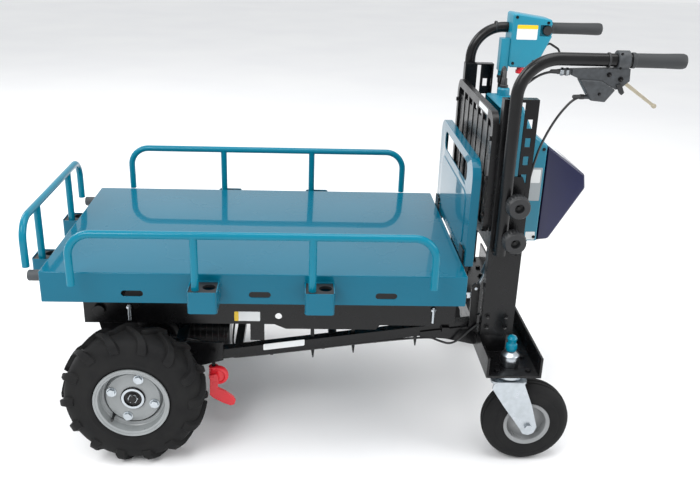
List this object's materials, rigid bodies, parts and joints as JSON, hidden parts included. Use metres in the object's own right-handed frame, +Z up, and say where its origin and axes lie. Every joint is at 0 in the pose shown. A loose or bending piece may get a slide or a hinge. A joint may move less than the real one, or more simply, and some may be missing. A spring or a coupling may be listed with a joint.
{
  "type": "power wheelbarrow",
  "caption": "Battery powered wheelbarrow: a flat dump deck with lift-out rails on two driven tractor wheels and two swivel casters, steered from a pair of height-adjustable handles.",
  "frame": {"origin": "on the floor, under the middle of the machine's bounding box", "axes": "+X from the drive wheels towards the operator, +Y to the operator's right, +Z up"},
  "size_m": [1.5864, 0.82, 1.0919],
  "materials": {
    "deck_paint": "gloss powder coat, teal",
    "rail_paint": "gloss powder coat, bright teal",
    "black_paint": "satin black powder coat",
    "gear_case": "painted casting, satin black",
    "zinc": "bright zinc plate",
    "rim_paint": "light grey enamel",
    "caster_rim_paint": "grey enamel",
    "tyre": "matte black rubber",
    "socket_plastic": "moulded black",
    "housing_plastic": "moulded teal, fine grain",
    "control_plastic": "moulded light teal",
    "smoky_plastic": "smoky navy, polished",
    "battery_case": "moulded black",
    "grip_rubber": "soft dark grey",
    "knob_plastic": "moulded black",
    "brake_plastic": "moulded dark grey",
    "red_plastic": "moulded red",
    "lever_steel": "plain steel, satin",
    "bumper_rubber": "dark grey rubber",
    "cable_sleeve": "black PVC sleeve"
  },
  "bodies": {
    "chassis": {"chassis_frame": "black_paint", "axle_cradle": "black_paint", "dump_pivot_shaft": "black_paint", "transaxle_housing": "gear_case", "drive_motor": "gear_case", "rear_cross_beam": "black_paint", "upright_left": "black_paint", "upright_right": "black_paint", "guard": "black_paint", "main_housing": "housing_plastic", "housing_back": "black_paint", "battery_packs": "battery_case", "caster_plates": "zinc", "frame_bolts": "black_paint", "brake_cable_upper": "cable_sleeve", "brake_cable_lower": "cable_sleeve", "control_cable": "cable_sleeve"},
    "deck": {"deck_tray": "deck_paint", "deck_subframe": "black_paint", "rail_sockets_left": "deck_paint", "rail_sockets_right": "deck_paint", "rail_sockets_front": "deck_paint", "socket_inserts": "socket_plastic", "headboard": "deck_paint", "headboard_brackets": "black_paint", "deck_bumpers": "bumper_rubber"},
    "side_rail_left": {"side_rail_left": "rail_paint"},
    "side_rail_right": {"side_rail_right": "rail_paint"},
    "front_rail": {"front_rail": "rail_paint"},
    "battery_cover": {"battery_cover": "smoky_plastic"},
    "brake_lever": {"brake_lever": "lever_steel"},
    "parking_lever": {"parking_lever": "knob_plastic"},
    "drive_trigger": {"drive_trigger": "gear_case"},
    "stop_button": {"stop_button": "red_plastic"},
    "clutch_lever": {"clutch_lever": "red_plastic"},
    "dump_latch": {"dump_latch": "zinc"},
    "handle_left": {"handle_tube_left": "black_paint", "grip_left": "grip_rubber", "brake_housing": "brake_plastic"},
    "handle_right": {"handle_tube_right": "black_paint", "grip_right": "grip_rubber", "control_box": "control_plastic"},
    "drive_wheel_left": {"drive_tyre_left": "tyre", "drive_rim_left": "rim_paint", "drive_hub_left": "zinc"},
    "caster_swivel_left": {"caster_fork_left": "zinc"},
    "caster_wheel_left": {"caster_tyre_left": "tyre", "caster_rim_left": "caster_rim_paint"},
    "lock_knob_left": {"caster_lock_knob_left": "rail_paint"},
    "clamp_knob_upper_left": {"clamp_knob_upper_left": "knob_plastic"},
    "clamp_knob_lower_left": {"clamp_knob_lower_left": "knob_plastic"},
    "drive_wheel_right": {"drive_tyre_right": "tyre", "drive_rim_right": "rim_paint", "drive_hub_right": "zinc"},
    "caster_swivel_right": {"caster_fork_right": "zinc"},
    "caster_wheel_right": {"caster_tyre_right": "tyre", "caster_rim_right": "caster_rim_paint"},
    "lock_knob_right": {"caster_lock_knob_right": "rail_paint"},
    "clamp_knob_upper_right": {"clamp_knob_upper_right": "knob_plastic"},
    "clamp_knob_lower_right": {"clamp_knob_lower_right": "knob_plastic"}
  },
  "joints": [
    {"name": "deck_tip", "type": "hinge", "parent": "chassis", "child": "deck", "pos_m": [-0.60315, 0, 0.38], "axis": [0, -1, 0], "range_deg": [0, 60]},
    {"name": "side_rail_left_lift", "type": "slide", "parent": "deck", "child": "side_rail_left", "axis": [0, 0, 1], "range_m": [0, 0.06]},
    {"name": "side_rail_right_lift", "type": "slide", "parent": "deck", "child": "side_rail_right", "axis": [0, 0, 1], "range_m": [0, 0.06]},
    {"name": "front_rail_lift", "type": "slide", "parent": "deck", "child": "front_rail", "axis": [0, 0, 1], "range_m": [0, 0.06]},
    {"name": "drive_spin_left", "type": "hinge", "parent": "chassis", "child": "drive_wheel_left", "pos_m": [-0.50715, -0.342, 0.1865], "axis": [0, 1, 0], "continuous": true},
    {"name": "caster_swivel_left", "type": "hinge", "parent": "chassis", "child": "caster_swivel_left", "pos_m": [0.45685, -0.337, 0.252], "axis": [0, 0, 1], "continuous": true},
    {"name": "caster_spin_left", "type": "hinge", "parent": "caster_swivel_left", "child": "caster_wheel_left", "pos_m": [0.51285, -0.337, 0.1145], "axis": [0, 1, 0], "continuous": true},
    {"name": "lock_knob_left_pull", "type": "slide", "parent": "chassis", "child": "lock_knob_left", "axis": [0, 0, 1], "range_m": [0, 0.012], "stiffness_N_per_m": 900, "springref_m": -0.004},
    {"name": "handle_left_height", "type": "slide", "parent": "chassis", "child": "handle_left", "axis": [0, 0, 1], "range_m": [0, 0.18], "deforming": ["brake_cable_upper", "brake_cable_lower"]},
    {"name": "clamp_knob_upper_left_turn", "type": "hinge", "parent": "handle_left", "child": "clamp_knob_upper_left", "pos_m": [0.43485, -0.33, 0.701], "axis": [0, 1, 0], "continuous": true},
    {"name": "clamp_knob_lower_left_turn", "type": "hinge", "parent": "handle_left", "child": "clamp_knob_lower_left", "pos_m": [0.43485, -0.33, 0.611], "axis": [0, 1, 0], "continuous": true},
    {"name": "drive_spin_right", "type": "hinge", "parent": "chassis", "child": "drive_wheel_right", "pos_m": [-0.50715, 0.342, 0.1865], "axis": [0, 1, 0], "continuous": true},
    {"name": "caster_swivel_right", "type": "hinge", "parent": "chassis", "child": "caster_swivel_right", "pos_m": [0.45685, 0.337, 0.252], "axis": [0, 0, 1], "continuous": true},
    {"name": "caster_spin_right", "type": "hinge", "parent": "caster_swivel_right", "child": "caster_wheel_right", "pos_m": [0.51285, 0.337, 0.1145], "axis": [0, 1, 0], "continuous": true},
    {"name": "lock_knob_right_pull", "type": "slide", "parent": "chassis", "child": "lock_knob_right", "axis": [0, 0, 1], "range_m": [0, 0.012], "stiffness_N_per_m": 900, "springref_m": -0.004},
    {"name": "handle_right_height", "type": "slide", "parent": "chassis", "child": "handle_right", "axis": [0, 0, 1], "range_m": [0, 0.18], "deforming": ["control_cable"]},
    {"name": "clamp_knob_upper_right_turn", "type": "hinge", "parent": "handle_right", "child": "clamp_knob_upper_right", "pos_m": [0.43485, 0.33, 0.701], "axis": [0, 1, 0], "continuous": true},
    {"name": "clamp_knob_lower_right_turn", "type": "hinge", "parent": "handle_right", "child": "clamp_knob_lower_right", "pos_m": [0.43485, 0.33, 0.611], "axis": [0, 1, 0], "continuous": true},
    {"name": "brake_lever_squeeze", "type": "hinge", "parent": "handle_left", "child": "brake_lever", "pos_m": [0.64285, -0.2955, 1.006], "axis": [0, -1, 0], "range_deg": [0, 22], "stiffness_Nm_per_rad": 0.8, "springref_deg": -6.88},
    {"name": "parking_lever_turn", "type": "hinge", "parent": "handle_left", "child": "parking_lever", "pos_m": [0.64085, -0.2955, 0.99], "axis": [0, -1, 0], "range_deg": [0, 25]},
    {"name": "drive_trigger_squeeze", "type": "hinge", "parent": "handle_right", "child": "drive_trigger", "pos_m": [0.60885, 0.2955, 0.992], "axis": [0, -1, 0], "range_deg": [0, 12], "stiffness_Nm_per_rad": 0.5, "springref_deg": -8.59},
    {"name": "stop_button_press", "type": "slide", "parent": "handle_right", "child": "stop_button", "axis": [0, 0, 1], "range_m": [0, 0.004], "stiffness_N_per_m": 400, "springref_m": -0.002},
    {"name": "battery_cover_open", "type": "hinge", "parent": "chassis", "child": "battery_cover", "pos_m": [0.56245, 0, 0.7901], "axis": [0, -1, 0], "range_deg": [0, 100]},
    {"name": "clutch_release", "type": "hinge", "parent": "chassis", "child": "clutch_lever", "pos_m": [-0.32015, -0.2, 0.16], "axis": [0, 0, 1], "range_deg": [-60, 0]},
    {"name": "dump_latch_pull", "type": "hinge", "parent": "chassis", "child": "dump_latch", "pos_m": [0.37485, -0.2259, 0.442], "axis": [0, -1, 0], "range_deg": [0, 18], "stiffness_Nm_per_rad": 3, "springref_deg": -17.19}
  ]
}
